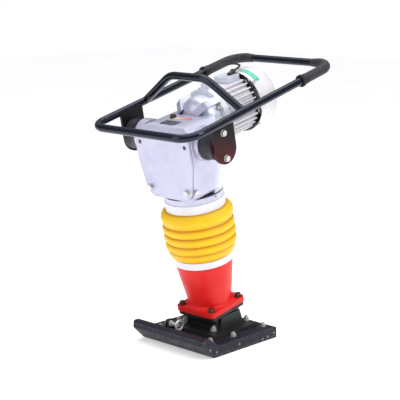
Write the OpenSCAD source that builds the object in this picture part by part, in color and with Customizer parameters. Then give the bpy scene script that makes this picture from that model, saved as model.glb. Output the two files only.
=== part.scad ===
// Electric tamping rammer (jumping jack): a sprung foot driven by a motor, a gear pair and a crank.
// Ground at z = 0, origin at the middle of the flat sole, front of the machine towards -Y.
// The leg leans forward. Everything above the foot is drawn in the leg's own frame: x across,
// y to the rear, z up the leg, measured from the leg datum above the origin.

/* [Leg] */
// Forward lean of the leg, degrees
lean = 11.8; // [10:0.1:13]
// Height of the leg datum above the ground
leg_h = 124; // [120:1:130]

/* [Shoe] */
// Width of the shoe
shoe_w = 300; // [280:5:320]
// Front end of the flat sole, ahead of the origin
sole_front = 143; // [135:1:150]
// Rear end of the sole, behind the origin
sole_rear = 144; // [140:1:150]
// Thickness of the steel sole plate
plate_t = 7; // [5:0.5:8]
// Height of the board's top above the ground
board_top = 34; // [30:1:36]
// Height of the turned-up nose
nose_h = 66; // [60:1:70]

/* [Foot bracket] */
// Half width of the bracket's base plate
base_hw = 104; // [96:1:106]
// Thickness of the base plate
base_t = 12; // [10:1:14]
// Side of the square flange under the spring cylinder
flange_side = 157; // [150:1:165]
// Distance of the flange bolts from the leg axis along x and y
flange_bolt = 61.5; // [58:0.5:63]

/* [Spring cylinder] */
// Radius of the housing at the flange
cone_r0 = 68; // [66:0.5:70]
// Radius of the housing at the lower band
cone_r1 = 89; // [87:0.5:90]
// Bore radius of the steel sleeve
bore_r = 54; // [52:0.5:55]
// Radius of the piston rod
rod_r = 13; // [11:0.5:14]

/* [Bellows] */
// Radius over the folds
fold_r = 111; // [110:0.5:114]
// Radius in the grooves between folds
groove_r = 107.5; // [106:0.5:109]

/* [Crankcase] */
// Half width of the crankcase
case_hw = 111; // [108:0.5:112]
// Wall thickness
case_wall = 9; // [8:0.5:10]
// Height of the crankshaft above the datum
crank_h = 475; // [475:1:475]
// Throw of the crank
throw_r = 22; // [18:1:22]
// Length of the connecting rod between centres
conrod_l = 110; // [108:1:114]

/* [Gears] */
// Gear module
gear_m = 2.5; // [2.5:0.5:2.5]
// Teeth on the crank gear
gear_z = 60; // [60:1:60]
// Teeth on the motor pinion
pinion_z = 14; // [14:1:14]

/* [Motor] */
// Radius over the cooling fins
fin_r = 88; // [86:1:90]
// Number of cooling fins
fins = 32; // [24:1:40]
// Radius of the fan cowl
cowl_r = 95; // [93:0.5:98]
// Rear end of the fan cowl behind the leg axis
cowl_end = 336; // [330:1:340]

/* [Handle] */
// Diameter of the handle tube
tube_d = 24; // [22:0.5:25.5]
// Wall of the handle tube
tube_wall = 2.5; // [2:0.25:3]
// Half width of the loop, to the tube's centre line
loop_hw = 201; // [198:1:205]
// Length of the loop, to the tube's centre line
loop_l = 660; // [650:5:670]
// Height of the arch above the rails
arch_rise = 90; // [80:1:95]

/* [Rubber mounts] */
// Radius of the rubber drum
drum_r = 47; // [45:1:48]
// Radius of the hanging plate's lower end
ear_r = 45; // [44:1:47]

/* [Hidden] */
$fn = 96;
play = 0.05;          // radial clearance of a running fit
gap = 0.3;            // air between parts that slide past each other

// leg heights, from the datum
flange_top = -4;
flange_t = 16;
under_t = 12;         // black top plate of the bracket
floor_h = -6;         // bottom of the spring chamber
band0 = 139;          // lower band
band1 = 160;
housing_top = 163;
guide_low = 205;      // lower end of the guide cylinder
cap_h = 258;
cap_top = 270;
cuff0 = 317;          // upper band
cuff1 = 345;
neck_top = 363;
case_low = 367;
cover_low = 376;
cover_top = 563;
case_top = 593;
motor_h = crank_h + gear_m * (gear_z + pinion_z) / 2;
piston_h = 120;       // centre of the spring piston
piston_t = 24;
crankpin_h = crank_h - throw_r;
wrist_h = crankpin_h - conrod_l;

// places to the rear of the leg axis
case_front = -91;
cover_front = -99;
gear_y0 = 24;
gear_y1 = 42;
wall_y = 48;          // inner face of the rear wall
wall_out = 60;
bell_end = 98;
flange_y = 108;       // joint between bell and motor
flange_bolt_at = [62, 118, 242, 298];   // angles from the top
frame_y0 = 124;
frame_y1 = 238;
shield_y = 247;
cowl_y0 = 249;
saddle = 78;          // flat on top of the motor frame, above the motor's axis

// running parts
sleeve_r = 62;
guide_r = sleeve_r + play;
neck_r = 91;
band_r = 92.5;
wrist_r = 7;
crankpin_r = 11;
crankshaft_r = 15;
shaft_r = 12.5;
pinion_bore = 9;
fan_bore = 10;
fork_gap = 10.5;
rotor_r = 40;
stator_r = 70;
mount_y = -35;        // axis of the rubber mounts
mount_h = 538;
ear_y = -31;          // middle of the hanging plates
ear_h = 527;
boss_x = 131;
ear_x0 = 182;
ear_t = 8;
face_t = 4;           // bonded steel plates of the drums
ear_bolt = 38;        // ear bolts above and below the mount axis

// loop of the handle, in its own inclined plane
rail_y = -182;
rail_h = 603;
rise = 3;             // degrees, against the leg's own y
front_bend = 52;
rear_bend = 58;
arch_s = 233;         // arch feet, from the front tube
arch_hw = 73;
arch_bend = 80;
grip_s = 505;         // collars of the grips
grip_r = 15;
collar_r = 19;

// foot fittings
studs = [[106, -112], [116, -20], [116, 118]];
base_y0 = -92;
base_y1 = 112;
nut_x = 62;
nut_y = [-50, 100];
eye_y = -101;
eye_z = 52;
ring_r = 14.5;         // transport eye: to the middle of its wire
ring_wire = 4.3;
ring_x = -36;
ring_z = board_top + ring_r + ring_wire + 0.4;
nail_at = [[-160, 29], [-131, 17], [-30, 18], [77, 9], [101, 12], [130, 17]];

// route of the motor cable in the leg frame, from its boot on the left rail to the terminal box
cable_r = 3.2;
boot_s = [443, 463];  // along the rail
boot_off = [13, 8.6]; // inwards and upwards from the rail's centre line
cable_way = [[-188, 266, 635.1], [-188, 280, 636], [-186, 295, 638.4], [-183.4, 310, 641.9],
    [-182.1, 325, 643], [-182.4, 340, 641.9], [-183, 354.4, 639.5], [-183, 368.4, 637.6],
    [-179.6, 381.2, 636.9], [-171, 392.2, 637], [-159.2, 397.7, 637.6], [-146, 397.2, 638.8],
    [-133.7, 391.4, 641.4], [-121, 380.4, 645], [-95, 358, 652.5], [-64, 332, 660.6],
    [-35, 308.5, 667.4], [-15, 291, 671.6], [-1.5, 274.5, 673.6], [4.6, 259, 673.3],
    [6, 245, 671.3], [6, 233.5, 668.4], [6, 222, 665.2]];

// ---- frames and simple solids ----

module leg() translate([0, 0, leg_h]) rotate([lean, 0, 0]) children();
module loop() leg() translate([0, rail_y, rail_h]) rotate([rise, 0, 0]) children();
module both_sides() { children(); mirror([1, 0, 0]) children(); }
module rod_z(z0, z1, r, x = 0, y = 0) translate([x, y, z0]) cylinder(h = z1 - z0, r = r);
module rod_y(y0, y1, r, x = 0, z = 0) translate([x, y0, z]) rotate([-90, 0, 0]) cylinder(h = y1 - y0, r = r);
module rod_x(x0, x1, r, y = 0, z = 0) translate([x0, y, z]) rotate([0, 90, 0]) cylinder(h = x1 - x0, r = r);
module tube_z(z0, z1, ro, ri) difference() { rod_z(z0, z1, ro); rod_z(z0 - 1, z1 + 1, ri); }
module tube_y(y0, y1, ro, ri, z) difference() {
    rod_y(y0, y1, ro, 0, z);
    rod_y(y0 - 1, y1 + 1, ri, 0, z);
}
module block(x0, x1, y0, y1, z0, z1) translate([x0, y0, z0]) cube([x1 - x0, y1 - y0, z1 - z0]);
// a drawing of (x, z) points, made solid from y0 to y1
module slab_y(y0, y1) translate([0, y1, 0]) rotate([90, 0, 0]) linear_extrude(y1 - y0) children();
// a drawing of (y, z) points, made solid from x0 to x1
module slab_x(x0, x1) translate([x0, 0, 0]) rotate([90, 0, 90]) linear_extrude(x1 - x0) children();
module spun_y(z) translate([0, 0, z]) rotate([-90, 0, 0]) rotate_extrude() children();
module hex_z(z0, z1, flats, x = 0, y = 0)
    translate([x, y, z0]) cylinder(h = z1 - z0, r = flats / sqrt(3), $fn = 6);

// arc that rounds the corner b between a and c
function corner(a, b, c, r, n) =
    let(u = (a - b) / norm(a - b), w = (c - b) / norm(c - b),
        half = acos(max(-1, min(1, u * w))) / 2,
        o = b + (u + w) / norm(u + w) * r / sin(half),
        s = b + u * r / tan(half) - o, e = b + w * r / tan(half) - o,
        a0 = atan2(s.y, s.x), d0 = atan2(e.y, e.x) - a0,
        d = d0 > 180 ? d0 - 360 : (d0 < -180 ? d0 + 360 : d0))
    r == 0 ? [b] : [for (i = [0:n]) o + r * [cos(a0 + d * i / n), sin(a0 + d * i / n)]];
// an outline with its corners rounded by the radii in r
function rounded(p, r, n = 8) =
    [for (i = [0:len(p) - 1]) each corner(p[(i + len(p) - 1) % len(p)], p[i],
        p[(i + 1) % len(p)], is_list(r) ? r[i] : r, n)];
function box_outline(x, y) = [[-x, -y], [x, -y], [x, y], [-x, y]];

// ---- foot ----

// the sole's outer line, from its rear edge forward and up the ramp of the nose
ramp = [-188, 42];
module sole_plate() color("dimgray") difference() {
    slab_x(-shoe_w / 2, shoe_w / 2) polygon(rounded([[sole_rear, 0], [-sole_front, 0], ramp,
        [-188, 56], [-188 + plate_t, 56], [-188 + plate_t, 45], [-sole_front + 2, plate_t],
        [sole_rear, plate_t]], [2, 12, 7, 1, 1, 3, 8, 0]));
    for (p = studs) both_sides() plow_bolt(p, 0.4);
}

module shoe_board() color("darkslategray") difference() {
    slab_x(-shoe_w / 2, shoe_w / 2) polygon(rounded([[sole_rear, plate_t],
        [-sole_front + 2, plate_t], [-181, 45], [-181, 56.2], [-188, 56.2], [-188, nose_h],
        [-166, nose_h], [-121, board_top], [sole_rear - 1, board_top]],
        [0, 8, 3, 0, 0, 9, 12, 14, 3]));
    for (p = studs) both_sides() {
        rod_z(0, 60, 5.4, p.x, p.y);
        // seat for the washer
        rod_z(board_top, 60, 11, p.x, p.y);
    }
    for (y = nut_y) both_sides() rod_z(0, 60, 5.4, nut_x, y);
    for (p = nail_at) both_sides() rod_x(shoe_w / 2 - 14, shoe_w / 2 + 1, 2.1, p.x, p.y);
}

module side_nails() color("silver") both_sides() for (p = nail_at) {
    rod_x(shoe_w / 2 - 14, shoe_w / 2, 2, p.x, p.y);
    rod_x(shoe_w / 2, shoe_w / 2 + 1.2, 4, p.x, p.y);
}

// flush-headed bolt up through the sole, grown by g for its hole
module plow_bolt(p, g = 0) {
    translate([p.x, p.y, 0.8 - g]) cylinder(h = plate_t - 1.8 + g, r1 = 9 + g, r2 = 5 + g);
    rod_z(2, 30, 5 + g, p.x, p.y);
}

module board_bolts() color("silver") both_sides() for (p = studs) {
    plow_bolt(p);
    rod_z(28, board_top + 13, 5, p.x, p.y);
    difference() {
        union() {
            rod_z(board_top, board_top + 2, 10, p.x, p.y);
            hex_z(board_top + 2, board_top + 9, 16, p.x, p.y);
        }
        rod_z(board_top - 1, board_top + 12, 5, p.x, p.y);
    }
}

pedestal_hw = 64;
module foot_bracket() color([0.1, 0.1, 0.11]) {
    top = flange_top - flange_t;
    difference() {
        union() {
            translate([0, (base_y0 + base_y1) / 2, board_top]) linear_extrude(base_t)
                polygon(rounded(box_outline(base_hw, (base_y1 - base_y0) / 2), 10));
            hull() {
                block(-pedestal_hw, pedestal_hw, -34, 84, board_top + 4, board_top + base_t);
                leg() block(-58, 58, -50, 60, top - under_t, top - under_t + 2);
            }
            leg() translate([0, 0, top - under_t]) linear_extrude(under_t)
                polygon(rounded(box_outline(flange_side / 2 - 3, flange_side / 2 - 3), 14));
            both_sides() slab_x(pedestal_hw - 6, pedestal_hw + 8)
                polygon([[-30, 44], [84, 44], [50, 92], [-24, 84]]);
            // upright lug that carries the transport eye
            slab_x(-84, -74) polygon(rounded([[eye_y - 14, board_top], [eye_y + 22, board_top],
                [eye_y + 13, eye_z + 13], [eye_y - 13, eye_z + 13]], [0, 0, 9, 9]));
        }
        for (y = nut_y) both_sides() rod_z(board_top - 1, board_top + base_t + 1, 5.4, nut_x, y);
        for (y = nut_y) both_sides() rod_z(board_top + base_t, board_top + base_t + 30, 11, nut_x, y);
        rod_x(-90, -70, 6.1, eye_y, eye_z);
        // the base plate is cut back round the eye's ring
        rod_x(ring_x - 7, ring_x + 7, ring_r + ring_wire + 1.6, eye_y, ring_z);
        leg() for (x = [-1, 1], y = [-1, 1])
            rod_z(top - under_t - 16, top + 1, 5, x * flange_bolt, y * flange_bolt);
    }
}

module bracket_nuts() color("silver") both_sides() for (y = nut_y) {
    z = board_top + base_t;
    rod_z(plate_t, z + 16, 5, nut_x, y);
    difference() {
        union() {
            rod_z(z, z + 2, 10.5, nut_x, y);
            hex_z(z + 2, z + 10, 16, nut_x, y);
        }
        rod_z(z - 1, z + 11, 5, nut_x, y);
    }
}

module transport_eye() color("gainsboro") {
    translate([ring_x, eye_y, ring_z]) rotate([0, 90, 0]) rotate_extrude()
        translate([ring_r, 0]) circle(ring_wire);
    rod_x(-94, -84.2, 6, eye_y, eye_z);
    rod_x(-84.2, -66, 6, eye_y, eye_z);
    rod_x(-66, -40, 5, eye_y, eye_z);
    // tab from the stem's end up to the ring
    block(ring_x - 5.2, ring_x - 2.2, eye_y - 4, eye_y + 4, eye_z - 4, ring_z + ring_r - 1.5);
    translate([-74, eye_y, eye_z]) rotate([0, 90, 0]) cylinder(h = 8, r = 18 / sqrt(3), $fn = 6);
    translate([-92, eye_y, eye_z]) rotate([0, 90, 0]) cylinder(h = 8, r = 18 / sqrt(3), $fn = 6);
}

// ---- spring cylinder ----

module spring_cylinder() color("red") leg() difference() {
    union() {
        translate([0, 0, flange_top - flange_t]) linear_extrude(flange_t)
            polygon(rounded(box_outline(flange_side / 2, flange_side / 2), 16));
        rotate_extrude() polygon(concat([[0, flange_top - 1]],
            [for (i = [0:6]) let(a = 90 * i / 6) [cone_r0 + 9 - 9 * sin(a), flange_top + 9 - 9 * cos(a)]],
            [[cone_r1, band0 - 5], [cone_r1, housing_top], [0, housing_top]]));
    }
    rod_z(floor_h, housing_top + 1, sleeve_r);
    for (x = [-1, 1], y = [-1, 1])
        rod_z(flange_top - flange_t - 1, flange_top + 1, 5.4, x * flange_bolt, y * flange_bolt);
}

module cylinder_sleeve() color("silver") leg() tube_z(floor_h, cap_h, sleeve_r, bore_r);

module cylinder_cap() color("gray") leg() difference() {
    union() {
        rod_z(cap_h, cap_top, sleeve_r);
        rod_z(cap_h - 12, cap_h, 24);
    }
    rod_z(cap_h - 13, cap_top + 1, 20);
    for (a = [0:60:300]) rotate([0, 0, a]) rod_z(cap_h - 1, cap_top + 1, 3, 57, 0);
}

module rod_bush() color("goldenrod") leg() tube_z(cap_h - 12, cap_top, 20, rod_r + play);

module flange_bolts() color("saddlebrown") leg() for (x = [-1, 1], y = [-1, 1])
    translate([x * flange_bolt, y * flange_bolt, 0]) {
        rod_z(flange_top, flange_top + 2.5, 11);
        hex_z(flange_top + 2.5, flange_top + 11, 17);
        rod_z(flange_top - flange_t - under_t + 1, flange_top, 5);
    }

// wire swept along a helix about the leg axis, with its end turns lying flat
function coil_z(t, turns, z0, z1, w) =
    let(free = turns - 1.5, k = max(0, min(1, (t - 0.75) / free)))
    z0 + w + (t < 0.75 ? t * w * 0.9 : 0) + (t >= 0.75 ? 0.68 * w : 0)
    + k * (z1 - z0 - 2 * w - 1.36 * w) + (t > turns - 0.75 ? (t - turns + 0.75) * w * 0.9 : 0);
module coil(r, w, turns, z0, z1, hand = 1) {
    per_turn = 14;
    sides = 6;
    rings = floor(turns * per_turn);
    pts = [for (i = [0:rings], j = [0:sides - 1])
        let(t = i / per_turn, a = hand * 360 * t, b = 360 * j / sides, q = r + w * cos(b))
        [q * cos(a), q * sin(a), coil_z(t, turns, z0, z1, w) + w * sin(b)]];
    side = [for (i = [0:rings - 1], j = [0:sides - 1]) let(k = (j + 1) % sides)
        hand > 0
        ? [i * sides + j, i * sides + k, (i + 1) * sides + k, (i + 1) * sides + j]
        : [i * sides + j, (i + 1) * sides + j, (i + 1) * sides + k, i * sides + k]];
    first = [for (j = [0:sides - 1]) j];
    last = [for (j = [0:sides - 1]) rings * sides + j];
    flip = [for (j = [0:sides - 1]) sides - 1 - j];
    polyhedron(pts, concat(side, hand > 0
        ? [[for (j = flip) first[j]], last]
        : [first, [for (j = flip) last[j]]]));
}

module lower_springs() color("slategray") leg() {
    z1 = piston_h - piston_t / 2 - 0.5;
    coil(43, 6, 5, floor_h + 0.5, z1);
    coil(27, 4.2, 6, floor_h + 0.5, z1, -1);
}

module upper_springs() color("slategray") leg() {
    z0 = piston_h + piston_t / 2 + 0.5;
    coil(43, 6, 5, z0, cap_h - 0.5);
    coil(29.5, 4, 6, z0, cap_h - 0.5, -1);
}

// strap round a cuff with its worm screw at angle a
module band(z0, z1, r, a) {
    tube_z(z0, z1, r, r - 2.2);
    rotate([0, 0, a]) translate([r + 3, 0, (z0 + z1) / 2]) {
        block(-4, 5, -12, 12, -6, 6);
        rotate([-90, 0, 0]) translate([0, 0, -18]) cylinder(h = 36, r = 3.6);
    }
}

module lower_band() color("white") leg() band(band0, band1, band_r, 125);
module upper_band() color("white") leg() band(cuff0, cuff1, band_r, 125);

// one fold of the bellows from z0 to z1, from groove to groove
function fold(z0, z1, r0, r1, top) = [for (i = [0:9]) let(t = i / 10)
    [r0 + (r1 - r0) * t + (top - r0 - (r1 - r0) * t) * pow(sin(180 * t), 0.5), z0 + (z1 - z0) * t]];
fold_line = concat(
    [[91.5, band1], [96, housing_top], [100, 170], [104, 179], [106.5, 186]],
    fold(191, 215, groove_r, groove_r, fold_r - 1), fold(215, 243, groove_r, groove_r, fold_r),
    fold(243, 271, groove_r, groove_r, fold_r), fold(271, cuff0 - 2, groove_r, 92, fold_r - 0.5));
rubber_t = 3;
module bellows() color("gold") leg() rotate_extrude() {
    cuff = band_r - 2.2;
    polygon(concat([[cone_r1, band0 - 1], [cuff, band0 - 1], [cuff, band1]], fold_line,
        [[cuff, cuff0 - 1], [cuff, cuff1 - 1], [cuff - 3.5, cuff1 - 1], [cuff - 3.5, cuff0 - 4]],
        [for (i = [len(fold_line) - 1:-1:1]) fold_line[i] - [rubber_t + 1.4, 0]],
        [[cone_r1, housing_top]]));
}

// ---- crankcase and its covers ----

module guide_cylinder() color("gainsboro") leg() difference() {
    union() {
        rod_z(guide_low, cuff1, 72);
        rod_z(cuff0 - 6, cuff1, band_r - 5.7);
        rod_z(cuff1, neck_top, neck_r);
    }
    rod_z(guide_low - 1, neck_top + 1, guide_r);
    for (a = [30:60:330]) rotate([0, 0, a]) rod_z(cuff1 - 1, neck_top + 1, 4.2, 79, 0);
    for (a = [0, 180]) rotate([0, 0, a]) rod_x(neck_r - 5, neck_r + 1, 3, 0, cuff1 + 12);
}

module guide_bolts() color("silver") leg() for (a = [30:60:330]) rotate([0, 0, a]) {
    rod_z(cuff1, case_low + 8, 4, 79, 0);
}

// outline of the crankcase seen from the front, drawn in by w
function case_outline(w, low = case_low, top = case_top) = rounded(
    [[-88 + w * 0.8, low + w], [88 - w * 0.8, low + w], [case_hw - w, 492],
     [case_hw - w, top - 16 - w * 0.8], [70 - w, top - w], [w - 70, top - w],
     [w - case_hw, top - 16 - w * 0.8], [w - case_hw, 492]],
    [26, 26, 80, 15, 60, 60, 15, 80]);
// plan of the crankcase: square in front, round behind
function case_plan(w, y0, y1, r = 62) = rounded([[-case_hw + w, y0], [case_hw - w, y0],
    [case_hw - w, y1], [-case_hw + w, y1]], [6, 6, r, r], 10);

module case_solid() {
    intersection() {
        slab_y(case_front, wall_out + 5) polygon(case_outline(0));
        translate([0, 0, case_low - 1]) linear_extrude(case_top - case_low + 2)
            polygon(case_plan(0, case_front, wall_out));
        slab_x(-case_hw - 5, case_hw + 5) polygon(rounded([[case_front, case_low - 2],
            [wall_out + 1, case_low - 2], [wall_out + 1, case_top + 1], [case_front, case_top]],
            [0, 0, 0, 30]));
    }
    intersection() {
        rod_z(case_low, 560, 90);
        block(-100, 100, 0, 100, case_low, 560);
    }
    both_sides() rod_x(case_hw - 8, boss_x, drum_r + 4, mount_y, mount_h);
    bell();
}

// conical neck that carries the motor, with four lugs
module bell() {
    spun_y(motor_h) polygon(concat([[0, 28], [22, 28]],
        [for (i = [1:8]) let(a = 90 * i / 8) [22 + 47 * sin(a), 70 - 42 * cos(a)]],
        [[69, bell_end], [84, bell_end], [84, flange_y], [0, flange_y]]));
    // cast lug on top of the flange
    translate([8, 0, motor_h]) slab_y(bell_end, flange_y)
        polygon(rounded([[-12, 76], [12, 76], [10, 103], [-10, 103]], [0, 0, 8, 8]));
    for (a = [45:90:315]) translate([0, 0, motor_h]) rotate([0, a, 0])
        slab_x(-11, 11) polygon([[22, 44], [46, 80], [bell_end, 84], [bell_end, 44]]);
}

module crankcase() color("gainsboro") leg() difference() {
    union() {
        case_solid();
        rod_y(wall_y, 96, 40, 0, crank_h);
    }
    // gear chamber
    intersection() {
        slab_y(case_front - 1, wall_y) polygon(case_outline(case_wall));
        translate([0, 0, case_low]) linear_extrude(case_top - case_low)
            polygon(case_plan(case_wall, case_front - 40, wall_y, 40));
        slab_x(-case_hw, case_hw) polygon(rounded([[case_front - 2, case_low],
            [wall_y, case_low], [wall_y, case_top], [case_front - 2, case_top]],
            [0, 0, 0, 46]));
    }
    // room for the pinion's tips under the top wall
    rod_y(gear_y0 - 3, wall_y, gear_m * (pinion_z / 2 + 1) + 1.2, 0, motor_h);
    rod_z(case_low - 2, case_low + 30, sleeve_r);
    rod_y(wall_y - 1, 89, 31, 0, crank_h);
    rod_y(wall_y - 1, 76, 26, 0, motor_h);
    rod_y(76, flange_y + 1, 52, 0, motor_h);
    for (a = flange_bolt_at) translate([0, 0, motor_h]) rotate([0, a, 0])
        rod_y(bell_end - 1, flange_y + 1, 4.4, 0, 78);
    for (p = cover_bolt_at) rod_y(case_front - 1, case_front + 16, 4.2, p.x, p.y);
    for (a = [30:60:330]) rotate([0, 0, a]) rod_z(case_low - 1, case_low + 8, 4.2, 79, 0);
    rod_z(case_top - 20, case_top + 5, 8, -30, -8);
    rod_x(80, 112, 6, drain_y, drain_h);
    for (s = [-1, 1]) rod_x(s * (boss_x - 7) - 8, s * (boss_x - 7) + 8, 5.2, mount_y, mount_h);
}

drain_y = -82;
drain_h = 398;
cover_bolt_at = [[-75, 400], [75, 400], [-92, 541], [92, 541]];

module front_cover() color("gainsboro") leg() difference() {
    slab_y(cover_front, case_front - 1) intersection() {
        polygon(case_outline(0.5, cover_low));
        translate([-case_hw - 1, case_low]) square([2 * case_hw + 2, cover_top - case_low]);
    }
    for (i = [0:1]) rod_y(cover_front - 1, case_front, 4.2, cover_bolt_at[i].x, cover_bolt_at[i].y);
    for (i = [2:3]) {
        rod_y(cover_front - 1, cover_front + 4, 6.6, cover_bolt_at[i].x, cover_bolt_at[i].y);
        rod_y(cover_front - 1, case_front, 4.2, cover_bolt_at[i].x, cover_bolt_at[i].y);
    }
}

module gaskets() color("dimgray") leg() {
    slab_y(case_front - 1, case_front) difference() {
        intersection() {
            polygon(case_outline(1, cover_low));
            translate([-case_hw, case_low]) square([2 * case_hw, cover_top - case_low - 2]);
        }
        intersection() {
            polygon(case_outline(case_wall, cover_low));
            translate([-case_hw, case_low]) square([2 * case_hw, cover_top - case_low - 12]);
        }
        for (p = cover_bolt_at) translate([p.x, p.y]) circle(4.3);
    }
    difference() {
        tube_z(neck_top, case_low, neck_r - 4, guide_r);
        for (a = [30:60:330]) rotate([0, 0, a]) rod_z(neck_top - 1, case_low + 1, 4.2, 79, 0);
    }
}

module cover_bolts() color("silver") leg() {
    for (i = [0:1]) translate([cover_bolt_at[i].x, 0, cover_bolt_at[i].y]) {
        rod_y(cover_front - 2, cover_front, 10);
        translate([0, cover_front - 9, 0]) rotate([-90, 0, 0]) cylinder(h = 7, r = 15 / sqrt(3), $fn = 6);
        rod_y(cover_front, case_front + 15, 4);
    }
    for (i = [2:3]) translate([cover_bolt_at[i].x, 0, cover_bolt_at[i].y]) {
        rod_y(cover_front + 0.8, cover_front + 4, 6.4);
        rod_y(cover_front + 4, case_front + 15, 4);
    }
}

module filler_plug() color("peru") leg() translate([-30, -8, 0]) {
    rod_z(case_top - 12, case_top, 8);
    hex_z(case_top, case_top + 8, 17);
    rod_z(case_top + 8, case_top + 10, 6);
}

module drain_plug() color("silver") leg() translate([0, drain_y, drain_h]) {
    rod_x(84, 95.5, 6);
    translate([95.5, 0, 0]) rotate([0, 90, 0]) cylinder(h = 7, r = 14 / sqrt(3), $fn = 6);
}

module data_plate() color("dimgray") leg() block(-30, 30, -67, -36, case_top, case_top + 1.2);

// ---- shafts, bearings and gears ----

module bearing(y, width, ro, ri, z) tube_y(y, y + width, ro, ri + play, z);

module ball_bearings() color("silver") leg() {
    bearing(52, 16, 31, crankshaft_r, crank_h);
    bearing(72, 16, 31, crankshaft_r, crank_h);
    bearing(52, 15, 26, shaft_r, motor_h);
    bearing(flange_y, 15, 26, shaft_r, motor_h);
    bearing(shield_y - 15, 15, 26, shaft_r, motor_h);
}

module shaft_seal() color([0.15, 0.15, 0.15]) leg() tube_y(68, 76, 26, shaft_r + play, motor_h);

// involute flank point at radius r, as an angle from the middle of the tooth
function inv(a) = tan(a) * 180 / PI - a;
function flank(r, rp, z, slack) = let(rb = rp * cos(20))
    90 / z - slack / rp * 28.6 + inv(20) - (r <= rb ? 0 : inv(acos(rb / r)));
module gear(z, bore, y0, y1, turn, slack = 0.14) {
    rp = gear_m * z / 2;
    rb = rp * cos(20);
    root = rp - 1.25 * gear_m;
    radii = [max(rb, root + 0.3), rp - 0.45 * gear_m, rp, rp + 0.4 * gear_m, rp + 0.8 * gear_m];
    edge = [for (r = radii) [r, flank(r, rp, z, slack)]];
    tooth = concat([[root, edge[0][1] + 0.25 * 90 / z]], edge);
    slab_y(y0, y1) difference() {
        rotate(turn) polygon([for (k = [0:z - 1]) let(c = 360 * k / z)
            each concat([for (e = tooth) e[0] * [cos(c - e[1]), sin(c - e[1])]],
                [for (i = [len(tooth) - 1:-1:0])
                    tooth[i][0] * [cos(c + tooth[i][1]), sin(c + tooth[i][1])]])]);
        circle(bore);
    }
}

module crank_gear() color("lightslategray") leg() translate([0, 0, crank_h]) difference() {
    // a tooth points straight up at the pinion
    gear(gear_z, crankshaft_r, gear_y0, gear_y1, 90);
    tube_y(gear_y0 - 1, gear_y0 + 4, 66, 36, 0);
    rod_y(gear_y0 - 1, gear_y0 + 10, crankpin_r + 0.1, 0, -throw_r);
    for (a = [60:60:300]) rotate([0, a, 0]) rod_y(gear_y0 - 1, gear_y1 + 1, 9, 0, -50);
}

module crank_shaft() color("silver") leg() {
    rod_y(gear_y0 + 12, 90.5 - 2, crankshaft_r, 0, crank_h);
}

module drive_pinion() color("lightslategray") leg() translate([0, 0, motor_h])
    // a tooth space points straight down at the crank gear
    gear(pinion_z, pinion_bore, gear_y0 - 3, gear_y1 + 4, -90 + 180 / pinion_z);

module motor_shaft() color("silver") leg() {
    rod_y(gear_y0 - 4, gear_y1 + 4, pinion_bore, 0, motor_h);
    rod_y(gear_y1 + 4, shield_y + 3, shaft_r, 0, motor_h);
    rod_y(shield_y + 3, 292, fan_bore, 0, motor_h);
}

module rotor_core() color("lightgray") leg() {
    tube_y(146, 216, rotor_r, shaft_r, motor_h);
    tube_y(138, 146, rotor_r - 2, 24, motor_h);
    tube_y(216, 224, rotor_r - 2, 24, motor_h);
}

module cooling_fan() color([0.12, 0.12, 0.13]) leg() translate([0, 0, motor_h]) {
    tube_y(262, 290, 17, fan_bore, 0);
    difference() {
        rod_y(262, 264.5, 60);
        rod_y(261, 266, 16.5);
    }
    for (a = [0:45:315]) rotate([0, a, 0]) block(-1.3, 1.3, 264, 288, 16, 80);
}

// ---- motor housing ----

module motor_front_shield() color("gainsboro") leg() difference() {
    union() {
        rod_y(flange_y, flange_y + 10, 84, 0, motor_h);
        rod_y(flange_y + 10, frame_y0, 69, 0, motor_h);
    }
    rod_y(flange_y - 1, frame_y0 + 1, 26, 0, motor_h);
    for (a = flange_bolt_at) translate([0, 0, motor_h]) rotate([0, a, 0])
        rod_y(flange_y - 1, flange_y + 14, 4.4, 0, 78);
}

module motor_frame() color("whitesmoke") leg() translate([0, 0, motor_h]) {
    slab_y(frame_y0, frame_y1) difference() {
        union() {
            circle(77);
            for (k = [0:fins - 1]) rotate(360 * (k + 0.5) / fins) translate([0, -1.6]) square([fin_r, 3.2]);
            // flat saddle for the terminal box
            translate([-36, 40]) square([72, saddle - 40]);
        }
        circle(stator_r);
        translate([-46, saddle]) square([92, 20]);
    }
}

module stator_core() color("gray") leg() slab_y(150, 212) difference() {
    translate([0, motor_h]) circle(stator_r);
    translate([0, motor_h]) circle(rotor_r + 0.6);
    for (k = [0:23]) translate([0, motor_h]) rotate(15 * k) translate([44, -2]) square([15, 4]);
}

module stator_windings() color("chocolate") leg() for (y = [131, 213]) spun_y(motor_h)
    polygon(rounded([[45, y], [62, y], [62, y + 18], [45, y + 18]], 6, 5));

module motor_rear_shield() color([0.13, 0.13, 0.14]) leg() difference() {
    union() {
        difference() {
            rod_y(frame_y1, shield_y, 82, 0, motor_h);
            rod_y(frame_y1 - 1, shield_y - 3, 64, 0, motor_h);
        }
        rod_y(shield_y - 16, shield_y, 33, 0, motor_h);
        for (a = [45:90:315]) translate([0, 0, motor_h]) rotate([0, a, 0])
            block(-9, 9, shield_y - 5, shield_y + 16, 81, 92.4);
    }
    rod_y(shield_y - 17, shield_y + 1, 26, 0, motor_h);
    for (a = [45:90:315]) translate([0, 0, motor_h]) rotate([0, a, 0])
        rod_z(80, 100, 2.6, 0, shield_y + 9);
}

module motor_nuts() color("silver") leg() for (a = flange_bolt_at)
    translate([0, 0, motor_h]) rotate([0, a, 0]) {
        rod_y(bell_end - 14, flange_y + 10, 4, 0, 78);
        translate([0, bell_end - 8, 78]) rotate([-90, 0, 0]) cylinder(h = 8, r = 14 / sqrt(3), $fn = 6);
        translate([0, flange_y + 10, 78]) rotate([-90, 0, 0]) cylinder(h = 5.5, r = 14 / sqrt(3), $fn = 6);
    }

cowl_t = 2;
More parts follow.
